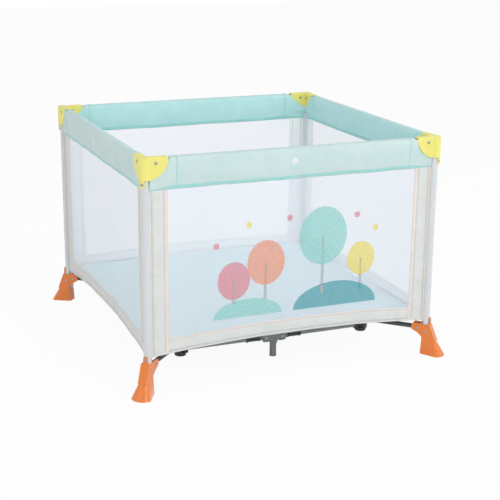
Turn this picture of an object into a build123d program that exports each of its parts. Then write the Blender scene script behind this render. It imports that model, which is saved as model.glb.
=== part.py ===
"""Folding square playpen: posts, hinged top rails, a hinged base ring and a sewn enclosure.

Millimetres, +Z up, origin on the floor under the middle of the pen.
The pen has four equal corners and four equal sides, so one corner and one side are drawn and turned.
Every hinged bar turns by the same angle when the pen folds, because the pivot offsets of the top rails
and of the base add up to the same value. The latch pivots take up the difference.
"""

import os
from math import sqrt

from build123d import *

os.makedirs("parts", exist_ok=True)

# Overall frame
post_spacing = 1000.0
total_height = 760.0
ring_inset = 165.0

# Clearances
pin_play = 0.08
bar_side_play = 0.4
socket_play = 0.1
cloth_play = 0.5
button_play = 0.3
swing_play = 1.5
seat_gap = 0.3

# Hinge pins
pin_radius = 3.0
pin_head_radius = 4.6
pin_head_height = 1.3

# Posts: round extrusion with two cord channels that hold the wall edges
post_radius = 12.5
post_wall = 2.2
post_bore_shift = 2.8
channel_radius = 3.1
channel_reach = 8.2
post_socket_floor = 50.0
post_roof = 8.0

# Top corner brackets
bracket_height = 69.0
bracket_hub_radius = 19.0
bracket_roof = 3.5
arm_reach = 72.0
arm_end_height = 14.0
arm_end_round = 5.0
arm_bulge = 10.0
arm_cheek = 2.6
bracket_round = 3.0
rail_drop = 18.0
rail_pivot = 32.0
tab_width = 14.0
tab_thickness = 4.4
tab_overlap = 12.0
bracket_tab_drop = 24.0

# Top rails and their middle latches
rail_radius = 10.0
tube_wall = 1.5
latch_cheek = 2.4
latch_floor = 3.0
latch_overhang = 15.0
latch_height = 23.0
latch_block_gap = 7.0
latch_block_height = 16.0
button_length = 26.0
button_width = 13.0
button_proud = 12.0
button_grip = 7.0
button_stroke = 6.0
button_stop = 2.0
button_round = 2.0

# Feet
foot_shoulder = 15.0
foot_neck_height = 47.0
foot_crown = 17.0
foot_half_width = 15.0
foot_heel = 9.0
foot_neck_toe = 41.0
foot_neck_side = 33.0
sole_heel = 12.0
sole_heel_half = 16.0
sole_side = 50.0
sole_side_half = 34.0
sole_toe = 70.0
foot_tab_rise = 24.0
foot_pivot = 26.0
foot_pivot_height = 92.0
clevis_nose = 20.0
clevis_round = 9.0
clevis_waist = 13.0
clevis_hollow = 4.0
clevis_back = 2.0

# Base bars, corner hubs and side hubs
bar_radius = 8.0
bar_wall = 1.3
ring_step = 21.0
hub_cheek = 3.0
hub_nose = 6.0
hub_ring_pivot = 18.0
hub_diagonal_pivot = 30.0
hub_plate = 4.0
disc_radius = 19.5
disc_height = 8.0
disc_round = 3.0
hub_block_start = 2.0
hub_cap = 7.5
side_hub_pivot = 30.0
side_hub_reach = 43.0
side_hub_rise = 13.0
side_hub_drop = 12.0
side_hub_arch = 3.5
side_hub_skirt = 22.0
sleeve_start = 20.0
sleeve_length = 50.0
sleeve_wall = 1.8
leg_radius = 11.5
leg_wall = 2.0
leg_cap_radius = 12.0
leg_cap_height = 9.0
leg_cap_round = 1.2

# Sewn enclosure
cover_radius = 17.0
cover_cloth = 1.6
cover_drop = 85.0
cover_edge_radius = 3.2
wall_cloth = 2.4
wall_overlap = 13.0
wall_bead_radius = 2.6
hem_corner_rise = 20.0
hem_middle_rise = 39.0
floor_cloth_thickness = 1.2
floor_rise = 34.0
mat_thickness = 14.0
mat_rim = 6.0
corner_cut = 62.0

# Values that follow from the ones above
post_half = post_spacing / 2
ring_half = post_half - ring_inset
ring_height = foot_pivot_height - ring_step
foot_top = foot_pivot_height + foot_shoulder
rail_height = total_height - rail_drop
bracket_base = total_height - bracket_height
post_top = total_height - post_roof
post_bore_radius = post_radius - post_wall - sqrt(2) * post_bore_shift
arm_half = rail_radius + bar_side_play + arm_cheek
rail_gap_half = rail_radius + bar_side_play
bar_gap_half = bar_radius + bar_side_play
hub_half = bar_gap_half + hub_cheek
latch_half = rail_gap_half + latch_cheek
pin_hole_radius = pin_radius + pin_play
tab_seat = post_radius + socket_play
latch_pivot = side_hub_pivot + hub_ring_pivot + (foot_pivot + hub_diagonal_pivot) / sqrt(2) - rail_pivot
rail_length = post_half - rail_pivot - latch_pivot
ring_bar_length = ring_half - hub_ring_pivot - side_hub_pivot
diagonal_length = sqrt(2) * (post_half - ring_half) - foot_pivot - hub_diagonal_pivot
cover_edge_height = rail_height - cover_drop
wall_top = cover_edge_height + wall_overlap
wall_edge = post_half - channel_reach
floor_cloth_base = foot_pivot_height + bar_radius + seat_gap
mat_base = floor_cloth_base + floor_cloth_thickness + seat_gap
floor_half = post_half - wall_cloth / 2 - cloth_play
hem_corner_height = floor_cloth_base + hem_corner_rise
hem_middle_height = floor_cloth_base + hem_middle_rise
mat_half = floor_half - floor_cloth_thickness - cloth_play
hub_plate_top = ring_height - bar_radius - swing_play
disc_base = hub_plate_top - hub_plate - disc_height

# Planes through the corner's diagonal, where local X points out of the pen
diagonal_side = Plane(origin=(0, 0, 0), x_dir=(-1, -1, 0), z_dir=(-1, 1, 0))
diagonal_plan = Plane(origin=(0, 0, 0), x_dir=(-1, -1, 0), z_dir=(0, 0, 1))
diagonal_front = Plane(origin=(0, 0, 0), x_dir=(1, -1, 0), z_dir=(-1, -1, 0))
arm_planes = (Plane.XZ, Plane.YZ)


def make_pin(plane, across, up, half_width):
    """Return a riveted pin that crosses a clevis, with a head on each side."""
    with BuildPart() as pin:
        with BuildSketch(plane):
            with Locations((across, up)):
                Circle(pin_radius)
        extrude(amount=half_width, both=True)
        for side in (half_width, -half_width - pin_head_height):
            with BuildSketch(plane.offset(side)):
                with Locations((across, up)):
                    Circle(pin_head_radius)
            extrude(amount=pin_head_height)
    return pin.part


def make_tube(side, across, middle, up, length, radius, wall):
    """Return a round tube with rounded ends and a pin hole at each end."""
    with BuildPart() as tube:
        with BuildSketch(side):
            with Locations((middle, up)):
                SlotCenterToCenter(length, 2 * radius)
        extrude(amount=radius, both=True)
        with BuildSketch(across):
            with Locations((0, up)):
                Circle(radius)
                Circle(radius - wall, mode=Mode.SUBTRACT)
        extrude(amount=abs(middle) + length, both=True, mode=Mode.INTERSECT)
        with BuildSketch(side):
            with Locations((middle - length / 2, up), (middle + length / 2, up)):
                Circle(pin_hole_radius)
        extrude(amount=radius, both=True, mode=Mode.SUBTRACT)
    return tube.part


def make_arm_view(grow):
    """Return the side view of a bracket arm, grown all round by a clearance."""
    low = bracket_base - grow
    high = total_height + grow
    reach = arm_reach + grow
    shoulder = total_height - arm_end_height
    with BuildSketch() as view:
        with BuildLine():
            SagittaArc((bracket_hub_radius, low), (reach, shoulder), -arm_bulge)
            Polyline((reach, shoulder), (reach, high), (0, high), (0, low), (bracket_hub_radius, low))
        make_face()
        fillet(view.vertices().group_by(Axis.Y)[-1].sort_by(Axis.X)[-1], arm_end_round)
    return view.sketch


def make_boot_level(heel, heel_half, side, side_half, toe):
    """Return one level of the flared boot: straight heel and sides, rounded toe."""
    with BuildSketch() as level:
        with BuildLine():
            Polyline((side, -side_half), (heel, -heel_half), (heel, heel_half), (side, side_half))
            ThreePointArc((side, side_half), (toe, 0), (side, -side_half))
        make_face()
    return level.sketch


def make_pan(base, half, rim, lip):
    """Return a solid that is flat over the base ring, widens up to its rim and ends in an upright lip."""
    with BuildPart() as pan:
        for level, reach in ((base, ring_half), (rim, half)):
            with BuildSketch(Plane.XY.offset(level)) as plan:
                Rectangle(2 * reach, 2 * reach)
                chamfer(plan.vertices(), corner_cut)
        loft()
        extrude(pan.faces().sort_by(Axis.Z)[-1], amount=lip)
    return pan.part


# Post, about its own axis, with its cord channels towards +X and +Y
with BuildPart() as post:
    with BuildSketch(Plane.XY.offset(post_socket_floor)):
        Circle(post_radius)
        with Locations((-post_bore_shift, -post_bore_shift)):
            Circle(post_bore_radius, mode=Mode.SUBTRACT)
        with PolarLocations(channel_reach, 2, angular_range=180):
            Circle(channel_radius, mode=Mode.SUBTRACT)
            Rectangle(
                post_radius,
                wall_cloth + 2 * cloth_play,
                align=(Align.MIN, Align.CENTER),
                mode=Mode.SUBTRACT,
            )
    extrude(amount=post_top - post_socket_floor)

# Top corner bracket: a round hub over the post and two channel-shaped arms that hold the rail ends
arm_view = make_arm_view(0)
rail_pins = [make_pin(plane, rail_pivot, rail_height, arm_half) for plane in arm_planes]
with BuildPart() as bracket:
    with BuildSketch(Plane.XY.offset(bracket_base)):
        Circle(bracket_hub_radius)
    extrude(amount=bracket_height)
    for plane in arm_planes:
        with BuildSketch(plane):
            add(arm_view)
        extrude(amount=arm_half, both=True)
    fillet(bracket.faces().sort_by(Axis.Z)[-1].edges(), bracket_round)
    with BuildSketch(diagonal_front.offset(tab_seat)):
        with Locations((0, bracket_base + (tab_overlap - bracket_tab_drop) / 2)):
            SlotOverall(tab_overlap + bracket_tab_drop, tab_width, rotation=90)
    extrude(amount=tab_thickness)
    with BuildSketch(Plane.XY.offset(bracket_base)):
        Circle(post_radius + socket_play)
    extrude(amount=post_top - bracket_base, mode=Mode.SUBTRACT)
    for plane in arm_planes:
        with BuildSketch(plane):
            with Locations((rail_pivot - rail_radius - swing_play, total_height - bracket_roof)):
                Rectangle(arm_reach, bracket_height, align=(Align.MIN, Align.MAX))
        extrude(amount=rail_gap_half, both=True, mode=Mode.SUBTRACT)
    add(rail_pins)

# Foot: a flared boot, a socket for the post and a clevis that points into the pen
sole_level = make_boot_level(-sole_heel, sole_heel_half, sole_side, sole_side_half, sole_toe)
neck_level = make_boot_level(-foot_heel, foot_half_width, foot_neck_side, foot_half_width, foot_neck_toe)
foot_pin = make_pin(diagonal_side, -foot_pivot, foot_pivot_height, foot_half_width)
with BuildPart() as foot:
    with BuildSketch(diagonal_plan):
        add(sole_level)
    with BuildSketch(diagonal_plan.offset(foot_neck_height)):
        add(neck_level)
    loft()
    with BuildSketch(diagonal_side) as foot_side:
        with BuildLine():
            Polyline(
                (-foot_heel, foot_neck_height + clevis_waist),
                (-foot_heel, foot_neck_height),
                (foot_neck_toe, foot_neck_height),
                (foot_crown, foot_top),
                (-foot_pivot - clevis_nose, foot_top),
                (-foot_pivot - clevis_nose, foot_pivot_height - bar_radius),
            )
            SagittaArc(
                (-foot_pivot - clevis_nose, foot_pivot_height - bar_radius),
                (-foot_heel, foot_neck_height + clevis_waist),
                clevis_hollow,
            )
        make_face()
        fillet(foot_side.vertices().sort_by(Axis.X)[:2], clevis_round)
    extrude(amount=foot_half_width, both=True)
    with BuildSketch(diagonal_side):
        with Locations((-tab_seat - clevis_back, foot_neck_height)):
            Rectangle(foot_pivot + clevis_nose, foot_top, align=(Align.MAX, Align.MIN))
    extrude(amount=bar_gap_half, both=True, mode=Mode.SUBTRACT)
    with BuildSketch(diagonal_front.offset(tab_seat)):
        with Locations((0, foot_top + (foot_tab_rise - tab_overlap) / 2)):
            SlotOverall(tab_overlap + foot_tab_rise, tab_width, rotation=90)
    extrude(amount=tab_thickness)
    with BuildSketch(diagonal_plan.offset(post_socket_floor)):
        Circle(post_radius + socket_play)
    extrude(amount=foot_top, mode=Mode.SUBTRACT)
    add(foot_pin)

# Diagonal bar from the foot to the corner hub
diagonal_bar = make_tube(
    diagonal_side,
    diagonal_front,
    -foot_pivot - diagonal_length / 2,
    foot_pivot_height,
    diagonal_length,
    bar_radius,
    bar_wall,
)

# Corner hub of the base ring: a round disc with three clevises, about the disc's axis
hub_pins = [make_pin(plane, hub_ring_pivot, ring_height, hub_half) for plane in arm_planes]
hub_pins.append(make_pin(diagonal_side, hub_diagonal_pivot, foot_pivot_height, hub_half))
with BuildPart() as corner_hub:
    with BuildSketch(Plane.XY.offset(disc_base)):
        Circle(disc_radius)
    extrude(amount=disc_height)
    fillet(corner_hub.edges().sort_by(Axis.Z)[0], disc_round)
    with BuildSketch(Plane.XY.offset(disc_base + disc_height)):
        Circle(disc_radius)
        for turn in (0, 90):
            with Locations(Rotation(0, 0, turn)):
                Rectangle(hub_ring_pivot + hub_nose, 2 * hub_half, align=(Align.MIN, Align.CENTER))
    extrude(amount=hub_plate)
    for plane in arm_planes:
        with BuildSketch(plane):
            with BuildLine():
                Polyline(
                    (bar_gap_half, disc_base + disc_height),
                    (hub_ring_pivot + hub_nose, disc_base + disc_height),
                    (hub_ring_pivot + hub_nose, ring_height),
                )
                ThreePointArc(
                    (hub_ring_pivot + hub_nose, ring_height),
                    (hub_ring_pivot, ring_height + hub_nose),
                    (hub_ring_pivot - hub_nose, ring_height),
                )
                Polyline(
                    (hub_ring_pivot - hub_nose, ring_height),
                    (bar_gap_half, ring_height),
                    (bar_gap_half, disc_base + disc_height),
                )
            make_face()
        extrude(amount=hub_half, both=True)
    with BuildSketch(diagonal_plan.offset(disc_base + disc_height)):
        with Locations((hub_block_start, 0)):
            Rectangle(
                hub_diagonal_pivot + hub_nose - hub_block_start,
                2 * hub_half,
                align=(Align.MIN, Align.CENTER),
            )
    extrude(amount=foot_pivot_height + hub_cap - disc_base - disc_height)
    with BuildSketch(diagonal_side):
        with Locations((hub_diagonal_pivot - bar_radius - swing_play, disc_base)):
            Rectangle(hub_diagonal_pivot, foot_top, align=(Align.MIN, Align.MIN))
    extrude(amount=bar_gap_half, both=True, mode=Mode.SUBTRACT)
    with BuildSketch(diagonal_side):
        with Locations((disc_radius + swing_play, foot_pivot_height - hub_cap)):
            Rectangle(hub_diagonal_pivot, foot_top, align=(Align.MIN, Align.MAX))
    extrude(amount=hub_half, both=True, mode=Mode.SUBTRACT)
    for plane in arm_planes:
        with BuildSketch(plane):
            with Locations((bar_gap_half, hub_plate_top)):
                Rectangle(hub_ring_pivot + hub_nose, foot_top, align=(Align.MIN, Align.MIN))
        extrude(amount=bar_gap_half, both=True, mode=Mode.SUBTRACT)
    add(hub_pins)

# Base ring bar, left of the middle of its side, with a moulded sleeve next to the side hub
ring_tube = make_tube(
    Plane.XZ,
    Plane.YZ,
    -side_hub_pivot - ring_bar_length / 2,
    ring_height,
    ring_bar_length,
    bar_radius,
    bar_wall,
)
with BuildPart() as ring_bar:
    add(ring_tube)
    with BuildSketch(Plane.YZ.offset(-side_hub_pivot - sleeve_start)):
        with Locations((0, ring_height)):
            Circle(bar_radius + sleeve_wall)
            Circle(bar_radius - bar_wall, mode=Mode.SUBTRACT)
    extrude(amount=-sleeve_length)

# Side hub: two plates that clasp the ring bars, joined by a web that runs down into the leg
side_pins = [make_pin(Plane.XZ, side, ring_height, hub_half) for side in (side_hub_pivot, -side_hub_pivot)]
with BuildPart() as side_hub:
    with BuildSketch(Plane.XZ):
        with BuildLine():
            SagittaArc(
                (side_hub_reach, ring_height - side_hub_drop),
                (leg_radius, ring_height - side_hub_drop),
                side_hub_arch,
            )
            Polyline(
                (leg_radius, ring_height - side_hub_drop),
                (leg_radius, ring_height - side_hub_skirt),
                (0, ring_height - side_hub_skirt),
                (0, ring_height + side_hub_rise),
                (side_hub_reach, ring_height + side_hub_rise),
                (side_hub_reach, ring_height - side_hub_drop),
            )
        make_face()
        mirror(about=Plane.YZ)
    extrude(amount=hub_half, both=True)
    for side in (1, -1):
        with BuildSketch(Plane.XZ):
            with Locations((side * (leg_radius + swing_play), ring_height + side_hub_rise)):
                Rectangle(
                    side_hub_reach,
                    side_hub_rise + side_hub_skirt,
                    align=(Align.MIN if side > 0 else Align.MAX, Align.MAX),
                )
        extrude(amount=bar_gap_half, both=True, mode=Mode.SUBTRACT)
    with BuildSketch(Plane.XY):
        Circle(leg_radius)
    extrude(amount=ring_height - side_hub_drop)
    with BuildSketch(Plane.XY):
        Circle(leg_cap_radius)
    extrude(amount=leg_cap_height)
    fillet(side_hub.edges().group_by(Axis.Z)[0], leg_cap_round)
    with BuildSketch(Plane.XY):
        Circle(leg_radius - leg_wall)
    extrude(amount=ring_height - side_hub_skirt, mode=Mode.SUBTRACT)
    add(side_pins)

# Top rail bar, left of the middle of its side
rail = make_tube(
    Plane.XZ,
    Plane.YZ,
    -latch_pivot - rail_length / 2,
    rail_height,
    rail_length,
    rail_radius,
    tube_wall,
)

# Latch housing: a channel, open at the top, that holds both rails and a button block between them
latch_base = rail_height - rail_radius - swing_play - latch_floor
latch_block_half = latch_pivot - rail_radius - latch_block_gap
latch_pins = [make_pin(Plane.XZ, side, rail_height, latch_half) for side in (latch_pivot, -latch_pivot)]
with BuildPart() as latch:
    with BuildSketch(Plane.XZ):
        with Locations((0, latch_base)):
            Rectangle(
                2 * (latch_pivot + latch_overhang),
                latch_height,
                align=(Align.CENTER, Align.MIN),
            )
    extrude(amount=latch_half, both=True)
    fillet(latch.edges().filter_by(Axis.Y), latch_floor)
    with BuildSketch(Plane.XZ):
        with Locations((0, latch_base + latch_floor)):
            Rectangle(
                2 * (latch_pivot + latch_overhang),
                latch_height,
                align=(Align.CENTER, Align.MIN),
            )
    extrude(amount=rail_gap_half, both=True, mode=Mode.SUBTRACT)
    with BuildSketch(Plane.XZ):
        with Locations((0, latch_base)):
            Rectangle(
                2 * latch_block_half,
                latch_floor + latch_block_height,
                align=(Align.CENTER, Align.MIN),
            )
    extrude(amount=rail_gap_half, both=True)
    with BuildSketch(Plane.XY.offset(latch_base)):
        Rectangle(button_length + 2 * button_play, button_width + 2 * button_play)
    extrude(amount=button_grip + button_stroke + button_stop, mode=Mode.SUBTRACT)
    add(latch_pins)

# Latch button, pressed upwards to let the rails drop
with BuildPart() as button:
    with BuildSketch(Plane.XY.offset(latch_base - button_proud)):
        RectangleRounded(button_length, button_width, button_round)
    extrude(amount=button_proud + button_grip)
    fillet(button.faces().sort_by(Axis.Z)[0].edges(), button_round)

# Padded rail cover: a drop-shaped sleeve, open along its lower edge, cut round the bracket arms
cover_cut = make_arm_view(cloth_play)
with BuildPart() as cover:
    with BuildSketch(Plane.YZ):
        with Locations((0, rail_height)):
            Circle(cover_radius)
        with Locations((0, cover_edge_height + cover_edge_radius)):
            Circle(cover_edge_radius)
        make_hull()
    extrude(amount=-(post_half - post_radius - cloth_play))
    with BuildSketch(Plane.YZ):
        with Locations((0, rail_height)):
            Circle(cover_radius - cover_cloth)
        with Locations((0, cover_edge_height + cover_edge_radius)):
            Circle(cover_edge_radius - cover_cloth)
        make_hull()
        with Locations((0, rail_height)):
            Rectangle(
                2 * (cover_edge_radius - cover_cloth),
                2 * cover_drop,
                align=(Align.CENTER, Align.MAX),
            )
    extrude(amount=-post_half, mode=Mode.SUBTRACT)
    with BuildSketch(Plane.XZ.move(Location((-post_half, 0, 0)))):
        add(cover_cut)
    extrude(amount=2 * cover_radius, both=True, mode=Mode.SUBTRACT)
    mirror(about=Plane.YZ)

# Side wall: one sheet with a cord bead down each edge and an arched hem
with BuildPart() as side_wall:
    with BuildSketch(Plane.XZ):
        with BuildLine():
            Polyline(
                (-wall_edge, hem_corner_height),
                (-wall_edge, wall_top),
                (wall_edge, wall_top),
                (wall_edge, hem_corner_height),
            )
            ThreePointArc(
                (wall_edge, hem_corner_height),
                (0, hem_middle_height),
                (-wall_edge, hem_corner_height),
            )
        make_face()
    extrude(amount=wall_cloth / 2, both=True)
    with BuildSketch(Plane.XY.offset(hem_corner_height)):
        with Locations((-wall_edge, 0), (wall_edge, 0)):
            Circle(wall_bead_radius)
    extrude(amount=wall_top - hem_corner_height)

# Floor cloth: flat over the base ring, then sloping up to the hems
cloth_top = floor_cloth_base + floor_cloth_thickness
with BuildPart() as floor_cloth:
    add(make_pan(floor_cloth_base, floor_half, floor_cloth_base + floor_rise, floor_cloth_thickness))
    add(make_pan(cloth_top, floor_half, cloth_top + floor_rise, floor_rise), mode=Mode.SUBTRACT)

# Padded floor mat, which lies in the floor cloth and thins out towards its rim
mat_top = mat_base + mat_thickness
with BuildPart() as floor_mat:
    add(make_pan(mat_base, mat_half, mat_base + floor_rise, mat_rim))
    add(make_pan(mat_top, mat_half, mat_base + floor_rise + mat_rim, floor_rise), mode=Mode.SUBTRACT)


def write(piece, name, origin, turn):
    """Set a copy of a piece at its place, turn it about the pen's middle and write it as one node."""
    placed = piece.moved(Location(origin)).rotate(Axis.Z, turn)
    placed.label = name
    export_step(placed, f"parts/{name}.step")


# Corners and sides, counted anticlockwise from the front left corner and from the front side
corners = ("front_left", "front_right", "back_right", "back_left")
sides = ("front", "right", "back", "left")
bar_ends = (("left", "right"), ("front", "back"), ("right", "left"), ("back", "front"))
rail_halves = (rail, rail.mirror(Plane.YZ))
ring_halves = (ring_bar.part, ring_bar.part.mirror(Plane.YZ))

for step in range(len(corners)):
    corner = corners[step]
    side_name = sides[step]
    angle = 90 * step
    post_origin = (-post_half, -post_half, 0)
    hub_origin = (-ring_half, -ring_half, 0)
    side_origin = (0, -post_half, 0)
    ring_origin = (0, -ring_half, 0)
    write(post.part, f"post_{corner}", post_origin, angle)
    write(bracket.part, f"top_bracket_{corner}", post_origin, angle)
    write(foot.part, f"foot_{corner}", post_origin, angle)
    write(diagonal_bar, f"diagonal_bar_{corner}", post_origin, angle)
    write(corner_hub.part, f"corner_hub_{corner}", hub_origin, angle)
    write(side_hub.part, f"side_hub_{side_name}", ring_origin, angle)
    write(latch.part, f"latch_housing_{side_name}", side_origin, angle)
    write(button.part, f"latch_button_{side_name}", side_origin, angle)
    write(cover.part, f"rail_cover_{side_name}", side_origin, angle)
    write(side_wall.part, f"side_wall_{side_name}", side_origin, angle)
    for half, end in enumerate(bar_ends[step]):
        write(rail_halves[half], f"rail_{side_name}_{end}", side_origin, angle)
        write(ring_halves[half], f"ring_bar_{side_name}_{end}", ring_origin, angle)

write(floor_cloth.part, "floor_cloth", (0, 0, 0), 0)
write(floor_mat.part, "floor_mat", (0, 0, 0), 0)
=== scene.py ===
"""Dresses the folding square playpen: sewn rail covers, net walls, floor and the finishes of its frame."""
import logging
import math
from dataclasses import dataclass
from enum import Enum
from typing import Callable, Optional, Sequence

import bmesh
import bpy
from mathutils import Matrix, Vector


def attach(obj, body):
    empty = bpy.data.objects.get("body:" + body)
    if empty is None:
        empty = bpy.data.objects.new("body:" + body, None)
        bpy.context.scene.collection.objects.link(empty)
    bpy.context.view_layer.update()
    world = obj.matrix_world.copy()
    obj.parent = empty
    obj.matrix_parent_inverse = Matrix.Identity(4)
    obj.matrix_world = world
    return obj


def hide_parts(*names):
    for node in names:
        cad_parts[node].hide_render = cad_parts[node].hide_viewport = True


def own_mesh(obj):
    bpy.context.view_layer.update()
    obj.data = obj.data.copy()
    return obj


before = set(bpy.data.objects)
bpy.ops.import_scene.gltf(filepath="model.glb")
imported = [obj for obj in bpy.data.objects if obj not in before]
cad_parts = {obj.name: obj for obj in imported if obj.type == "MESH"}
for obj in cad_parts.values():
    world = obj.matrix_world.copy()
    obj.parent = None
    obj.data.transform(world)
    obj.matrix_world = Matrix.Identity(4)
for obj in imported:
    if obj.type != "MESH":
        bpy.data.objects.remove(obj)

log = logging.getLogger("playpen")

MM = 0.001
POST_HALF = 0.5
RAIL_Z = 0.742
RING_HALF = 0.335
RING_Z = 0.071
FOLDED_SHARE = 0.2495
WHITE = (1.0, 1.0, 1.0, 1.0)
CLOTH_IOR = 1.45
NET_MESH = 7.0
# The low end and the high end of a side, with their signs along it.
ENDS = ((0, -1), (1, 1))

Place = tuple[float, float]
Point = tuple[float, float, float]
Station = tuple[Place, Place]
Rows = list[list[Point]]
Fold = tuple[Point, Point, float]
Inputs = dict[object, object]
Socket = bpy.types.NodeSocket


def linear(code: str) -> tuple[float, ...]:
    """Turns an sRGB hex colour, such as "#AEDCD8", to red, green, blue in linear light and an alpha of 1."""
    parts = [int(code[i : i + 2], 16) / 255 for i in (1, 3, 5)]
    return (*(c / 12.92 if c <= 0.04045 else ((c + 0.055) / 1.055) ** 2.4 for c in parts), 1.0)


def clamped(share: float) -> float:
    """Keeps a share between 0 and 1."""
    return min(max(share, 0.0), 1.0)


def ripple(size: float, rate: float, at: float, phase: float = 0.0) -> float:
    """The height of a ripple at a place, by its size in millimetres and its rate in radians per metre."""
    return size * MM * math.sin(at * rate + phase)


def add_node(
    tree: bpy.types.NodeTree, kind: str, inputs: Optional[Inputs] = None, **settings: object
) -> bpy.types.Node:
    """Adds one shader node.

    Args:
        tree: the material's node tree.
        kind: the node's type.
        inputs: values or output sockets, by the name or number of the input they go to.
        settings: the node's own properties.

    Returns:
        The node.
    """
    node = tree.nodes.new(kind)
    for name, value in settings.items():
        setattr(node, name, value)
    for name, value in (inputs or {}).items():
        if isinstance(value, Socket):
            tree.links.new(value, node.inputs[name])
        else:
            node.inputs[name].default_value = value
    return node


class Side(Enum):
    """The four sides, by quarter turns from the front."""

    FRONT = 0
    RIGHT = 1
    BACK = 2
    LEFT = 3

    @property
    def label(self) -> str:
        """The side's name in the frame."""
        return self.name.lower()

    @property
    def outward(self) -> Vector:
        """The direction out of the side's plane."""
        return Vector(self.place(0, 1, 0)) - Vector(self.place(0, 0, 0))

    def at_end(self, kind: str, end: int) -> str:
        """The name of a body or piece of some kind at the low end (0) or the high end (1)."""
        ends = (("left", "right"), ("front", "back"), ("right", "left"), ("back", "front"))[self.value]
        return f"{kind}_{self.label}_{ends[end]}"

    def at_corner(self, kind: str, end: int) -> str:
        """The name of a body or node of some kind at the corner by the low end (0) or the high end (1)."""
        corners = ("front_left", "front_right", "back_right", "back_left")
        return f"{kind}_{corners[(self.value + end) % len(corners)]}"

    def turned(self, x: float, y: float, z: float) -> Point:
        """Turns a place laid out for the front to this side."""
        for _ in range(self.value):
            x, y = -y, x
        return x, y, z

    def place(self, s: float, d: float, z: float) -> Point:
        """The point that lies s along the side from its middle, d out of its plane and z above the floor."""
        return self.turned(s, -(POST_HALF + d), z)


class Lay(Enum):
    """How a cloth lies, which sets the directions of its threads."""

    UPRIGHT = "upright"
    FLAT = "flat"


class Shader:
    """A node tree under work, with the kinds of node that the finishes share."""

    def __init__(self, owner: bpy.types.ID) -> None:
        """Starts an empty tree.

        Args:
            owner: the material or the world that the tree belongs to.
        """
        owner.use_nodes = True
        self.owner = owner
        self.tree = owner.node_tree
        self.tree.nodes.clear()

    def where(self) -> Socket:
        """The place on the object, in metres."""
        return add_node(self.tree, "ShaderNodeTexCoord").outputs["Object"]

    def threads(self, where: Socket, lay: Lay) -> tuple[Socket, Socket]:
        """The places along and across a cloth, by how it lies."""
        x, y, z = add_node(self.tree, "ShaderNodeSeparateXYZ", {0: where}).outputs
        return (self.reckon("ADD", x, y), z) if lay is Lay.UPRIGHT else (x, y)

    def reckon(self, operation: str, *values: object, clamp: bool = False) -> Socket:
        """Reckons with numbers and sockets, and keeps the result between 0 and 1 if that is asked."""
        inputs = dict(enumerate(values))
        return add_node(self.tree, "ShaderNodeMath", inputs, operation=operation, use_clamp=clamp).outputs[0]

    def noise(self, where: Socket, width: float, detail: float, **more: float) -> Socket:
        """Adds a pattern of clouds of a width in millimetres, with finer layers of detail in them."""
        inputs = {"Vector": where, "Scale": 1 / (width * MM), "Detail": detail, **more}
        return add_node(self.tree, "ShaderNodeTexNoise", inputs).outputs[0]

    def ramp(self, value: Socket, low: float, high: float, start: float = 0.0, stop: float = 1.0) -> Socket:
        """Takes a value from its span, start to stop, to the span from low to high."""
        inputs = {0: value, 1: start, 2: stop, 3: low, 4: high}
        return add_node(self.tree, "ShaderNodeMapRange", inputs).outputs[0]

    def tone(self, share: Socket, colour: str, deep: str) -> Socket:
        """Mixes a colour with its deeper tone."""
        inputs = {"Factor": share, "A": linear(colour), "B": linear(deep)}
        return add_node(self.tree, "ShaderNodeMix", inputs, data_type="RGBA").outputs[2]

    def bump(self, height: Socket, strength: float, depth: float, **more: Socket) -> Socket:
        """Roughens the surface by a pattern of some depth, in millimetres."""
        inputs = {"Height": height, "Strength": strength, "Distance": depth * MM, **more}
        return add_node(self.tree, "ShaderNodeBump", inputs).outputs[0]

    def finish(self, inputs: Inputs) -> bpy.types.Material:
        """Ends a material's tree in one surface.

        Args:
            inputs: what its surface is like.

        Returns:
            The material.
        """
        surface = add_node(self.tree, "ShaderNodeBsdfPrincipled", inputs).outputs[0]
        add_node(self.tree, "ShaderNodeOutputMaterial", {"Surface": surface})
        return self.owner


@dataclass(frozen=True)
class Moulding:
    """A moulded plastic with a fine spark-eroded grain."""

    name: str
    colour: str
    deep: str
    roughness: float
    flow: float = 60.0
    grain: float = 1.6
    bump: float = 0.05
    coat: float = 0.0
    glow: float = 0.0

    def make(self) -> bpy.types.Material:
        """Builds the material.

        Returns:
            The material.
        """
        shader = Shader(bpy.data.materials.new(self.name))
        where = shader.where()
        # Flow of the melt: a slow drift of tone.
        flow = shader.noise(where, self.flow, 2.0)
        # The mould's grain is near 0.1 mm, drawn coarser to show at this distance.
        grain = shader.noise(where, self.grain, 3.0)
        return shader.finish(
            {
                "Base Color": shader.tone(flow, self.colour, self.deep),
                "Roughness": shader.ramp(grain, self.roughness - 0.05, self.roughness + 0.07),
                "Normal": shader.bump(grain, self.bump, 0.3),
                "IOR": 1.49,
                "Coat Weight": self.coat,
                "Coat Roughness": 0.07,
                "Subsurface Weight": self.glow,
                "Subsurface Radius": (4 * MM, 3 * MM, 1.5 * MM),
            }
        )


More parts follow.
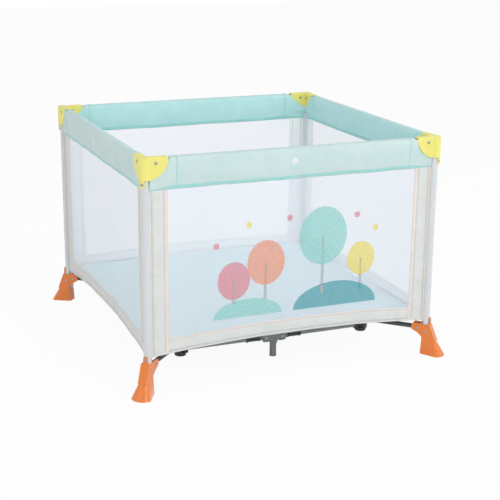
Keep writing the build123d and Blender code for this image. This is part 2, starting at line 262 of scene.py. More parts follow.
@dataclass(frozen=True)
class DrawnTube:
    """A drawn or extruded tube under a thin coating, with faint lines along it."""

    name: str
    colour: str
    deep: str
    roughness: float
    metallic: float = 0.0
    line: float = 1.4
    cloud: float = 90.0
    stretch: Point = (1.0, 1.0, 0.02)

    def make(self) -> bpy.types.Material:
        """Builds the material.

        Returns:
            The material.
        """
        shader = Shader(bpy.data.materials.new(self.name))
        where = shader.where()
        # Draw lines 0.2 mm apart run along the tube; drawn wider here so that they show.
        along = add_node(shader.tree, "ShaderNodeMapping", {"Vector": where, "Scale": self.stretch})
        lines = shader.noise(along.outputs[0], self.line, 2.0)
        clouds = shader.noise(where, self.cloud, 3.0)
        return shader.finish(
            {
                "Base Color": shader.tone(clouds, self.colour, self.deep),
                "Roughness": shader.ramp(lines, self.roughness - 0.08, self.roughness + 0.08),
                "Metallic": self.metallic,
                "Normal": shader.bump(lines, 0.08, 0.2),
            }
        )


@dataclass(frozen=True)
class WovenCloth:
    """A plain-woven polyester, with thread bumps, soft creases and a little sheen."""

    name: str
    colour: str
    deep: str
    lay: Lay = Lay.UPRIGHT
    thread: float = 2.6
    crease: float = 70.0
    roughness: float = 0.78
    sheen: float = 0.25
    weave: float = 0.22
    slub: float = 0.12

    def make(self) -> bpy.types.Material:
        """Builds the material.

        Returns:
            The material.
        """
        shader = Shader(bpy.data.materials.new(self.name))
        where = shader.where()
        # Threads are 0.3 mm apart in the real cloth; a pixel is over 2 mm, so they are drawn coarser.
        turns = 2 * math.pi / (self.thread * MM)
        phases = [shader.reckon("MULTIPLY", way, turns) for way in shader.threads(where, self.lay)]
        weave = shader.reckon("MULTIPLY", *(shader.reckon("SINE", phase) for phase in phases))
        folds = shader.noise(where, self.crease, 4.0, Roughness=0.55, Distortion=0.6)
        shade = shader.ramp(folds, 0.0, 0.8, start=0.3, stop=0.7)
        share = shader.reckon("MULTIPLY_ADD", weave, self.slub, shade)
        threads = shader.bump(weave, self.weave, 0.25)
        return shader.finish(
            {
                "Base Color": shader.tone(share, self.colour, self.deep),
                "Roughness": self.roughness,
                "Normal": shader.bump(folds, 0.35, 4, Normal=threads),
                "IOR": CLOTH_IOR,
                "Sheen Weight": self.sheen,
                "Sheen Roughness": 0.4,
            }
        )


@dataclass(frozen=True)
class KnittedNet:
    """A fine warp-knitted polyester net: white threads round open diamonds."""

    name: str
    colour: str
    open_share: float
    contrast: float
    passed: float = 0.55

    def make(self) -> bpy.types.Material:
        """Builds the material.

        Returns:
            The material.
        """
        shader = Shader(bpy.data.materials.new(self.name))
        run, rise = shader.threads(shader.where(), Lay.UPRIGHT)
        # The real holes are about 1.5 mm wide, finer than a pixel, so the diamonds are drawn coarser.
        turns = math.pi / (NET_MESH * MM)
        slants = [shader.reckon(operation, run, rise) for operation in ("ADD", "SUBTRACT")]
        waves = [shader.reckon("SINE", shader.reckon("MULTIPLY", slant, turns)) for slant in slants]
        hole = shader.reckon("MULTIPLY", *(shader.reckon("ABSOLUTE", wave) for wave in waves))
        mean = 1 - self.open_share
        cover = shader.ramp(hole, mean + self.contrast, mean - self.contrast)
        # White threads pass on much of the light that they catch, so the net's shadow is faint.
        shade = add_node(shader.tree, "ShaderNodeLightPath").outputs["Is Shadow Ray"]
        faint = shader.ramp(shade, 1.0, 1 - self.passed)
        return shader.finish(
            {
                "Base Color": linear(self.colour),
                "Roughness": 0.85,
                "Alpha": shader.reckon("MULTIPLY", cover, faint),
                "IOR": CLOTH_IOR,
                "Sheen Weight": 0.2,
            }
        )


@dataclass(frozen=True)
class PrintInk:
    """A transfer print on net: flat ink broken up by the threads under it."""

    name: str
    colour: str
    cover: float = 0.78
    patchy: float = 0.1

    def make(self) -> bpy.types.Material:
        """Builds the material.

        Returns:
            The material.
        """
        shader = Shader(bpy.data.materials.new(self.name))
        # The ink sits on the threads only, so it breaks up at the net's own scale, drawn as coarse.
        speck = shader.noise(shader.where(), NET_MESH, 2.0)
        cover = shader.ramp(speck, self.cover - self.patchy, self.cover + self.patchy, start=0.3, stop=0.7)
        return shader.finish(
            {"Base Color": linear(self.colour), "Roughness": 0.7, "Alpha": cover, "IOR": CLOTH_IOR}
        )


class Finishes:
    """Every finish on the pen, made once."""

    def __init__(self) -> None:
        """Makes the materials."""
        # Anodised aluminium under a pale lacquer: a soft grey with faint lines along it.
        self.post = DrawnTube("aluminium_extruded_lacquered", "#DADEE1", "#CED3D8", 0.42).make()
        # Polypropylene, injection moulded: even lemon yellow, satin, light passes a little way in.
        self.bracket = Moulding("polypropylene_moulded_lemon", "#F1EB88", "#EAE376", 0.42, glow=0.15).make()
        # ABS, injection moulded in a polished tool: deep orange with clear highlights.
        self.foot = Moulding("abs_moulded_orange", "#EE8330", "#E67926", 0.24, bump=0.02, coat=0.3).make()
        # Steel tube, zinc plated: a dull grey metal, hidden in the covers.
        self.rail = DrawnTube("steel_drawn_zinc_plated", "#B8BBBD", "#A3A7AA", 0.38, metallic=1.0).make()
        # Nylon, injection moulded: matt grey housing and a darker button.
        self.latch = Moulding("nylon_moulded_grey", "#8B8F91", "#7F8385", 0.5).make()
        self.button = Moulding("nylon_moulded_charcoal", "#3C4043", "#33373A", 0.45).make()
        # Steel tube, powder coated: grey ring bars and darker diagonal bars, slightly uneven in gloss.
        self.ring = DrawnTube("steel_drawn_grey_enamelled", "#8A8E90", "#7E8284", 0.32).make()
        self.base = DrawnTube("steel_drawn_powder_coated", "#4A4E51", "#424649", 0.42).make()
        self.hub = Moulding("nylon_moulded_black", "#2B2D2F", "#242628", 0.48).make()
        self.leg = Moulding("polypropylene_moulded_grey", "#808485", "#747879", 0.46).make()
        # Steel rivets, cold headed and nickel plated: small bright domes.
        self.rivet = DrawnTube("steel_headed_nickel_plated", "#A9AEB2", "#969BA0", 0.3, metallic=1.0).make()
        # Polyester, woven and padded: pale aqua, soft shadows in its creases.
        self.cover = WovenCloth("polyester_woven_aqua", "#CEE3E2", "#C3DBDA").make()
        # The inner face is the same cloth drawn lighter and more saturated: painted light for the inside of
        # the pen, which gets less light.
        self.lining = WovenCloth("polyester_woven_deep_aqua", "#C2EAE9", "#B6E2E1").make()
        self.hem = WovenCloth("polyester_tape_aqua", "#A6DCD7", "#98D3CE", crease=30.0).make()
        self.band = WovenCloth("polyester_woven_off_white", "#DFE2E0", "#D5D8D6", crease=45.0).make()
        # A whiter copy of the band for the inner faces of the wall's strips: painted light for the inside of
        # the walls, which lies in the nets' shade.
        self.band_back = WovenCloth("polyester_woven_white", "#FBFCFC", "#F4F6F7", crease=45.0).make()
        self.piping = WovenCloth("polyester_tape_beige", "#EBE1D9", "#E2D7CE", crease=30.0).make()
        # Polyester, warp knitted: a white haze with what is behind showing through.
        self.net = KnittedNet("polyester_knitted_net", "#E8EDF8", 0.58, contrast=0.04).make()
        self.tray = WovenCloth("polyester_coated_grey_green", "#C9D3CE", "#BCC7C2", lay=Lay.FLAT).make()
        self.mat = WovenCloth(
            "polyester_woven_pale_blue", "#E0F7FB", "#D8F2F7", lay=Lay.FLAT, crease=110.0
        ).make()
        self.mark = PrintInk("ink_screen_printed_white", "#EDF0F7", 0.95).make()


class Dresser:
    """Builds meshes from rows of points and hands each to the frame."""

    def piece(
        self,
        name: str,
        points: Sequence[Point],
        faces: Sequence[Sequence[int]],
        materials: Sequence[bpy.types.Material],
        picks: Optional[Sequence[int]] = None,
    ) -> bpy.types.Object:
        """Makes an object from points and faces.

        Args:
            name: the piece's name.
            points: its points, in metres.
            faces: the point numbers of each face.
            materials: its finishes.
            picks: which finish each face takes.

        Returns:
            The object.
        """
        mesh = bpy.data.meshes.new(name)
        mesh.from_pydata(list(points), [], [list(f) for f in faces])
        for material in materials:
            mesh.materials.append(material)
        if picks is not None:
            mesh.polygons.foreach_set("material_index", list(picks))
        mesh.polygons.foreach_set("use_smooth", [True] * len(mesh.polygons))
        work = bmesh.new()
        work.from_mesh(mesh)
        bmesh.ops.recalc_face_normals(work, faces=work.faces)
        work.to_mesh(mesh)
        work.free()
        mesh.update()
        obj = bpy.data.objects.new(name, mesh)
        bpy.context.scene.collection.objects.link(obj)
        return obj

    def loft(
        self,
        name: str,
        rows: Sequence[Sequence[Point]],
        materials: Sequence[bpy.types.Material],
        pick: Optional[Callable[[int, int], int]] = None,
        closed: bool = True,
        capped: bool = True,
    ) -> bpy.types.Object:
        """Skins rows of points.

        Args:
            name: the piece's name.
            rows: sections with equal numbers of points.
            materials: its finishes.
            pick: gives a face's finish from its row and its place in the row.
            closed: whether each section is a loop.
            capped: whether the first and last sections are filled.

        Returns:
            The object.
        """
        count = len(rows[0])
        points = [p for row in rows for p in row]
        faces: list[Sequence[int]] = []
        picks: list[int] = []
        for i in range(len(rows) - 1):
            for j in range(count if closed else count - 1):
                low, k = i * count, (j + 1) % count
                faces.append((low + j, low + k, low + count + k, low + count + j))
                picks.append(pick(i, j) if pick else 0)
        caps = (0, len(points) - count) if closed and capped else ()
        for first in caps:
            faces.append(range(first, first + count))
            picks.append(0)
        obj = self.piece(name, points, faces, materials, picks)
        for number in range(len(faces) - len(caps), len(faces)):
            obj.data.polygons[number].use_smooth = False
        return obj

    def give(self, obj: bpy.types.Object, body: str, slot: str, squash: Optional[Fold] = None) -> None:
        """Hands a finished piece to the frame.

        Args:
            obj: the piece.
            body: the body it moves with.
            slot: not used.
            squash: the axis, the anchor and the share kept when the frame folds; only whether it is given is
                used, to give the piece its own mesh.
        """
        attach(obj, body)
        if squash:
            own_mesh(obj)
        log.info("%s rides on %s", obj.name, body)


@dataclass
class HardFrame:
    """The rigid nodes, which keep their shapes and get their finishes."""

    finishes: Finishes

    def dress(self) -> None:
        """Gives each rigid node its material."""
        by_start = {
            "post_": self.finishes.post,
            "top_bracket_": self.finishes.bracket,
            "foot_": self.finishes.foot,
            "rail_cover_": None,
            "rail_": self.finishes.rail,
            "latch_housing_": self.finishes.latch,
            "latch_button_": self.finishes.button,
            "ring_bar_": self.finishes.ring,
            "diagonal_bar_": self.finishes.base,
            "corner_hub_": self.finishes.hub,
            "side_hub_": self.finishes.leg,
        }
        for name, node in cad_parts.items():
            finish = next((by_start[start] for start in by_start if name.startswith(start)), None)
            if finish is not None:
                node.data.materials.clear()
                node.data.materials.append(finish)
                log.info("%s is finished in %s", name, finish.name)


@dataclass
class Rivets:
    """Headed rivets set over the pin ends of the brackets, feet and side hubs, and on the posts."""

    finishes: Finishes
    dresser: Dresser
    radius: float = 5.2 * MM
    dome: float = 2.2 * MM
    flat: float = 0.6
    rings: int = 4
    around: int = 16
    # Each seat: the reach from the post along its bar, the distance out to the cheek, the height.
    bracket: Point = (32 * MM, 13.2 * MM, RAIL_Z)
    clevis: Point = (-26 * MM, 15.2 * MM, 0.092)
    ankle: Point = (6 * MM, 14.8 * MM, 0.080)
    post_face: float = 16.8 * MM
    post_heights: Place = (0.679, 0.121)
    hub_reach: float = 30 * MM
    hub_cheek: float = 12.5 * MM

    def head(self, centre: Vector, out: Vector) -> list[Point]:
        """The points of one head, ring by ring from its seat, by its middle and the direction it faces."""
        turn = out.to_track_quat("Z", "Y").to_matrix()
        points: list[Point] = []
        for lift in (ring / self.rings * math.pi / 2 for ring in range(self.rings)):
            reach = self.radius * math.cos(lift) ** self.flat
            for angle in (2 * math.pi * step / self.around for step in range(self.around)):
                spot = (reach * math.cos(angle), reach * math.sin(angle), self.dome * math.sin(lift))
                points.append(tuple(centre + turn @ Vector(spot)))
        return points

    def row(self, name: str, body: str, seats: Sequence[tuple[Vector, Vector]]) -> None:
        """Joins a body's rivet heads in one piece.

        Args:
            name: the piece's name.
            body: the body it moves with.
            seats: the middle and direction of each head.
        """
        points: list[Point] = []
        faces: list[Sequence[int]] = []
        for centre, out in seats:
            start = len(points)
            points.extend(self.head(centre, out))
            last = len(points) - self.around
            for low in range(start, last, self.around):
                high = low + self.around
                for step in range(self.around):
                    after = (step + 1) % self.around
                    faces.append((low + step, low + after, high + after, high + step))
            faces.extend(range(first, first + self.around) for first in (last, start))
        piece = self.dresser.piece(name, points, faces, [self.finishes.rivet])
        self.dresser.give(piece, body, "rail_tube")

    def corner_seats(self) -> list[tuple[Vector, Vector]]:
        """The middle and direction of each head at the front left corner."""
        post = Vector((-POST_HALF, -POST_HALF, 0))
        along, inwards, upwards = Matrix.Identity(3)
        diagonal = -(along + inwards).normalized()
        beside = (along - inwards).normalized()
        pairs = (
            (along, inwards, self.bracket),
            (inwards, along, self.bracket),
            (diagonal, beside, self.clevis),
            (diagonal, beside, self.ankle),
        )
        seats = [(post + diagonal * self.post_face + upwards * z, diagonal) for z in self.post_heights]
        for run, face, (reach, cheek, height) in pairs:
            for out in (face, -face):
                seats.append((post + run * reach + out * cheek + upwards * height, out))
        return seats

    def hub_seats(self) -> list[tuple[Vector, Vector]]:
        """The middle and direction of each head on the front side hub."""
        seats = []
        for reach in (-self.hub_reach, self.hub_reach):
            for sign in (1, -1):
                centre = Vector((reach, -RING_HALF - sign * self.hub_cheek, RING_Z))
                seats.append((centre, Vector((0, -sign, 0))))
        return seats

    def build(self) -> None:
        """Sets the rivets of the four corners and the four side hubs."""
        for side in Side:
            turn = Matrix.Rotation(side.value * math.pi / 2, 3, "Z")
            for body, seats in (
                (side.at_corner("corner", 0), self.corner_seats()),
                (f"side_hub_{side.label}", self.hub_seats()),
            ):
                self.row(f"rivets_{body}", body, [(turn @ centre, turn @ out) for centre, out in seats])


@dataclass
class BarSleeves:
    """The black moulded sleeves on the ring bars, next to each side hub."""

    finishes: Finishes
    dresser: Dresser
    start: float = 50 * MM
    length: float = 50 * MM
    radius: float = 10.1 * MM
    rib: float = 1.4 * MM
    rib_length: float = 5 * MM
    rib_fall: float = 1 * MM
    around: int = 20

    def profile(self) -> list[Place]:
        """Distances along the sleeve and its radii there, with a rib at each end."""
        low, high = self.radius, self.radius + self.rib
        foot = self.rib_length + self.rib_fall
        first = [(0.0, low), (0.0, high), (self.rib_length, high), (foot, low)]
        return first + [(self.length - place, radius) for place, radius in reversed(first)]

    def build(self) -> None:
        """Slips a sleeve over each of the eight ring bars."""
        inset = RING_HALF - POST_HALF
        turns = [2 * math.pi * i / self.around for i in range(self.around)]
        for side in Side:
            for end, sign in ENDS:
                rows = []
                for place, radius in self.profile():
                    s = sign * (self.start + place)
                    ring = [(inset + radius * math.cos(t), RING_Z + radius * math.sin(t)) for t in turns]
                    rows.append([side.place(s, d, z) for d, z in ring])
                name = side.at_end("bar_sleeve", end)
                sleeve = self.dresser.loft(name, rows, [self.finishes.hub], capped=False)
                self.dresser.give(sleeve, side.at_end("ring_bar", end), "hub_moulding")


@dataclass
class Padding:
    """Swells sewn pads with a cloth simulation: air inside, seams held, no weight."""

    pressure: float = 4.0
    frames: int = 20
    cap: float = 4 * MM
    quality: int = 5

    def swell(
        self, dresser: Dresser, pads: dict[str, Rows], sewn: Callable[[int, int], bool]
    ) -> dict[str, Rows]:
        """Lets several pads swell at once.

        Args:
            dresser: what skins the sections.
            pads: each pad's sections, by its name.
            sewn: tells from a point's section and its place in it whether a seam or the rail holds it.

        Returns:
            The sections after swelling, by the pad's name.
        """
        scene = bpy.context.scene
        bags: dict[str, bpy.types.Object] = {}
        for name, rows in pads.items():
            bag = dresser.loft(f"bag_{name}", rows, [])
            held = [i * len(row) + j for i, row in enumerate(rows) for j in range(len(row)) if sewn(i, j)]
            bag.vertex_groups.new(name="sewn").add(held, 1.0, "REPLACE")
            cloth = bag.modifiers.new("padding", "CLOTH")
            cloth.settings.vertex_group_mass = "sewn"
            cloth.settings.use_pressure = True
            cloth.settings.uniform_pressure_force = self.pressure
            cloth.settings.effector_weights.gravity = 0.0
            cloth.settings.quality = self.quality
            cloth.collision_settings.use_collision = False
            bags[name] = bag
        for number in range(1, self.frames + 1):
            scene.frame_set(number)
        graph = bpy.context.evaluated_depsgraph_get()
        swollen: dict[str, Rows] = {}
        for name, bag in bags.items():
            full = iter([v.co.copy() for v in bag.evaluated_get(graph).data.vertices])
            swollen[name] = [[self.limit(Vector(p), next(full)) for p in row] for row in pads[name]]
        for bag in bags.values():
            bpy.data.meshes.remove(bag.data)
        scene.frame_set(1)
        log.info("%d pads swelled over %d frames", len(swollen), self.frames)
        return swollen

    def limit(self, sewn: Vector, full: Vector) -> Point:
        """Where a point ends, moved by no more than it may be."""
        move = full - sewn
        return tuple(sewn + (move if move.length <= self.cap else move.normalized() * self.cap))


@dataclass
class RailCovers:
    """The padded sleeves sewn round the top rails, cut round the corner brackets."""

    finishes: Finishes
    dresser: Dresser
    padding: Padding
    radius: float = 17 * MM
    edge_radius: float = 3.0 * MM
    low: float = 0.657
    seam: float = 0.400
    snug: float = 0.412
    arm_end: float = 0.431
    end: float = 0.487
    arm_low: float = 0.691
    arm_shoulder: float = 0.746
    arm_hub: float = 19 * MM
    arm_reach: float = 72 * MM
    arm_bulge: float = 10 * MM
    arm_tuck: float = 9.6 * MM
    levels: int = 18
    hem_levels: int = 4
    mark_proud: float = 0.5 * MM
    crown: float = 2.9
    turn_in: float = 5 * MM
    lap_width: float = 14.4 * MM
    lap_rise: float = 8 * MM
    spacing: float = 8 * MM
    edge: float = 0.2 * MM
    snug_drop: float = 6 * MM
    snug_draw: float = 4.6 * MM
    arm_overlap: float = 5 * MM
    arm_high: float = RAIL_Z - 10.5 * MM
    turn_phase: float = 1.3
    narrowing: float = 0.12
    slump: float = 1.1
    calm: float = 12 * MM
    seam_width: float = 3 * MM
    seam_draw: float = 1.0 * MM
    tuck_margin: float = 3 * MM
    stitch_inset: float = 1.5 * MM
    stitch_middle: float = RAIL_Z - 20 * MM
    mark_middle: float = -12 * MM
    folded: float = 0.3

    def half_width(self, z: float) -> float:
        """The sleeve's half thickness at a height.

        Args:
            z: the height, in metres.

        Returns:
            Half the thickness.
        """
        if z >= RAIL_Z:
            rise = min((z - RAIL_Z) / self.radius, 1.0)
            return self.radius * (1 - rise**self.crown) ** (1 / self.crown)
        share = (z - self.low) / (RAIL_Z - self.low)
        plump = self.edge_radius + (self.radius - self.edge_radius) * share**self.slump
        nose = min((z - self.low) / self.edge_radius, 1.0)
        return plump * math.sqrt(max(1 - (1 - nose) ** 2, 0.0))

    def bracket_edge(self, s: float) -> float:
        """The height of the bracket arm's lower edge at a place along the side: an arc from hub to end."""
        start = Vector((self.arm_hub, self.arm_low))
        chord = Vector((self.arm_reach, self.arm_shoulder)) - start
        radius = (chord.length_squared / 4 + self.arm_bulge**2) / (2 * self.arm_bulge)
        outward = Vector((chord.y, -chord.x)).normalized()
        centre = start + chord / 2 - outward * (radius - self.arm_bulge)
        reach = min(max(POST_HALF - abs(s), self.arm_hub), self.arm_reach)
        return centre.y - math.sqrt(radius**2 - (reach - centre.x) ** 2)

    def looseness(self, z: float) -> float:
        """The share that a height lies down the skirt, from the rail to the hem."""
        return max(1 - (z - self.low) / (RAIL_Z - self.low), 0.0)

    def closeness(self, s: float) -> float:
        """The share by which the sleeve is drawn in towards the bracket's arm."""
        return clamped((abs(s) - self.snug) / (self.arm_end - self.snug))

    def sway(self, side: Side, s: float, z: float) -> float:
        """How far the loose skirt stands out of its plane."""
        wave = ripple(1.5, 23, s, 0.7 + self.turn_phase * side.value) + ripple(0.7, 57, s, side.value)
        return wave * math.sin(math.pi * self.looseness(z))

    def thickness(self, side: Side, s: float, z: float) -> float:
        """Half the sleeve's thickness at a place, drawn in at the bracket and at the seam.

        Args:
            side: the side it is on.
            s: the place along the side.
            z: the height.

        Returns:
            Half the thickness, in metres.
        """
        phase = self.turn_phase * side.value
        puff = ripple(0.6, 70, s, phase) + ripple(0.5, 118, s, z * 60)
        drawn = self.seam_draw * math.exp(-(((abs(s) - self.seam) / self.seam_width) ** 2))
        width = min(self.half_width(z), self.radius - self.snug_draw * self.closeness(s))
        if abs(s) > self.arm_end and z > self.bracket_edge(s) - self.tuck_margin:
            width = min(width, self.arm_tuck)
        lively = min((z - self.low) / self.calm, 1.0)
        return max(width + (puff - drawn) * lively, self.edge)

    def section(self, side: Side, s: float) -> list[Point]:
        """One loop of points round the sleeve.

        Args:
            side: the side it is on.
            s: the place along the side.

        Returns:
            The loop, from the hem up the outside and down the inside.
        """
        phase = self.turn_phase * side.value
        sag = ripple(1.0, 17, s, phase) + ripple(0.7, 41, s, 2 * phase)
        high = RAIL_Z + self.radius - self.snug_drop * self.closeness(s)
        lapped = high
        if abs(s) > self.arm_end:
            high = min(self.bracket_edge(s) + self.arm_overlap, self.arm_high)
            lapped = max(self.lap_edge(s), high)
        outside: list[Point] = []
        inside: list[Point] = []
        for level in range(self.levels + 1):
            share = 0.5 - 0.5 * math.cos(math.pi * level / self.levels)
            z = self.low + (high - self.low) * share
            width = self.edge if level == self.levels else self.thickness(side, s, z)
            outside.append(side.place(s, self.sway(side, s, z) + width, z + sag * self.looseness(z)))
            z = self.low + (lapped - self.low) * share
            if abs(s) > self.arm_end:
                over_arm = z > self.arm_low - self.lap_rise
                width = self.lap_width if over_arm else min(self.half_width(z), self.lap_width)
            inside.append(side.place(s, self.sway(side, s, z) - width, z + sag * self.looseness(z)))
        return outside + inside[::-1]

    def lap_edge(self, s: float) -> float:
        """The height of the straight cut where the inner cloth laps over the bracket."""
        reach = POST_HALF - abs(s)
        return self.arm_low + (self.arm_shoulder - self.arm_low) * reach / self.arm_reach

    def stretch(self, side: Side, start: float, stop: float) -> Rows:
        """The sections, an odd number of them, of one stretch of the sleeve along a side."""
        count = 2 * max(int(abs(stop - start) / self.spacing / 2), 3)
        return [self.section(side, start + (stop - start) * i / count) for i in range(count + 1)]

    def in_hem(self, spot: int) -> bool:
        """Whether a place in a section is on the hem tape, round the lowest edge."""
        loop = 2 * (self.levels + 1)
        return spot < self.hem_levels or spot >= loop - 1 - self.hem_levels

    def cloth_at(self, spot: int) -> int:
        """Which cloth covers a place in a section: 0 outside, 1 on the hem tape, 2 inside, a lighter copy of
        the outer cloth with painted light.
        """
        if self.in_hem(spot):
            return 1
        return 2 if spot > self.levels else 0

    def skin(self, name: str, rows: Sequence[Sequence[Point]]) -> bpy.types.Object:
        """Skins one stretch of the sleeve, its open ends turned in under sharp rims.

        Args:
            name: the piece's name.
            rows: its sections.

        Returns:
            The piece.
        """
        # The inside of the sleeve takes the copy of the cover cloth with painted light.
        finishes = [self.finishes.cover, self.finishes.hem, self.finishes.lining]
        turned_in = [self.tuck(rows[0], rows[1]), *rows, self.tuck(rows[-1], rows[-2])]
        piece = self.dresser.loft(name, turned_in, finishes, lambda row, spot: self.cloth_at(spot))
        count = len(rows[0])
        for edge in piece.data.edges:
            first, second = (v // count for v in edge.vertices)
            edge.use_edge_sharp = first == second and first in (1, len(rows))
        return piece

    def tuck(self, rim: Sequence[Point], inner: Sequence[Point]) -> list[Point]:
        """The edge of the cloth where it is turned in at an open end of the sleeve.

        Args:
            rim: the last section.
            inner: the section before it.

        Returns:
            A smaller section a little way inside.
        """
        middle = sum((Vector(p) for p in rim), Vector()) / len(rim)
        deeper = sum((Vector(p) for p in inner), Vector()) / len(inner)
        inward = (deeper - middle).normalized() * self.turn_in
        return [tuple(Vector(p).lerp(middle, self.narrowing) + inward) for p in rim]

    def swollen(self) -> dict[str, Rows]:
        """The sections of each sleeve between its seams, swelled, by the side's name."""
        sleeves = {side.label: self.stretch(side, -self.seam, self.seam) for side in Side}
        last = len(sleeves[Side.FRONT.label]) - 1
        crown = self.levels - 2

        def sewn(row: int, spot: int) -> bool:
            """The seams hold both ends, the hem holds the low edge, and the rail holds the top."""
            on_rail = crown <= spot <= 2 * self.levels + 1 - crown
            return row in (0, last) or self.in_hem(spot) or on_rail

        return self.padding.swell(self.dresser, sleeves, sewn)

    def seam_tape(self, side: Side, name: str, s: float) -> bpy.types.Object:
        """Lays a line of stitching over a seam."""
        rows = []
        # Each row of the tape: how far along it lies and how proud it stands, in millimetres.
        for shift, proud in ((-1.3, 0.0), (-0.6, 1.3), (0.6, 1.3), (1.3, 0.0)):
            place = s + shift * MM
            base = Vector(side.place(place, 0.0, self.stitch_middle))
            spots = [Vector(p) for p in self.section(side, place)]
            rows.append([tuple(p + (p - base).normalized() * proud * MM) for p in spots])
        return self.dresser.loft(name, rows, [self.finishes.hem])

    def on_outside(self, side: Side, sleeve: Sequence[Sequence[Point]], s: float, z: float) -> Point:
        """A place just proud of the swollen sleeve's outer face.

        Args:
            side: the side it is on.
            sleeve: the sleeve's sections.
            s: the place along the side.
            z: the height.

        Returns:
            The point.
        """
        share = (s + self.seam) / (2 * self.seam) * (len(sleeve) - 1)
        first = int(share)
        reaches = []
        for row in (sleeve[first], sleeve[first + 1]):
            outside = row[: self.levels + 1]
            high = next(i for i in range(1, len(outside)) if outside[i][2] >= z)
            below, above = Vector(outside[high - 1]), Vector(outside[high])
            spot = below.lerp(above, (z - below.z) / (above.z - below.z))
            reaches.append(spot.dot(side.outward) - POST_HALF)
        reach = reaches[0] + (reaches[1] - reaches[0]) * (share - first)
        return side.place(s, reach + self.mark_proud, z)

    def push_mark(self, side: Side, name: str, sleeve: Sequence[Sequence[Point]]) -> bpy.types.Object:
        """Prints a small blunt arrow over the latch button, on the outside of the cover."""
        rows = []
        # Each row of the mark: its height and half its width.
        for z, reach in ((0.7095, 7 * MM), (0.7165, 13 * MM), (0.7225, 7.5 * MM), (0.7305, 0.3 * MM)):
            places = [self.mark_middle + reach * (k / 3 - 1) for k in range(7)]
            rows.append([self.on_outside(side, sleeve, s, z) for s in places])
        return self.dresser.loft(name, rows, [self.finishes.mark], closed=False)

    def build(self) -> None:
        """Makes the four covers, each in two halves and two end pieces."""
        sleeves = self.swollen()
        for side in Side:
            rows = sleeves[side.label]
            middle = len(rows) // 2
            top = side.place(0, 0, RAIL_Z + self.radius)
            flat = ((0.0, 0.0, 1.0), top, self.folded)
            for end, sign in ENDS:
                corner = side.at_corner("corner", end)
                half = self.skin(side.at_end("cover_half", end), rows[middle:] if end else rows[: middle + 1])
                tip_rows = self.stretch(side, sign * self.seam, sign * self.end)
                tip = self.skin(side.at_end("cover_end", end), tip_rows)
                stitches = sign * (self.seam + self.stitch_inset)
                tape = self.seam_tape(side, side.at_end("cover_seam", end), stitches)
                for piece, body in ((half, side.at_end("rail", end)), (tip, corner), (tape, corner)):
                    self.dresser.give(piece, body, "cover_cloth", flat)
                if end == 0:
                    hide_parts(f"rail_cover_{side.label}")
            mark = self.push_mark(side, f"push_mark_{side.label}", rows)
            self.dresser.give(mark, side.at_end("rail", 0), "cover_cloth", flat)


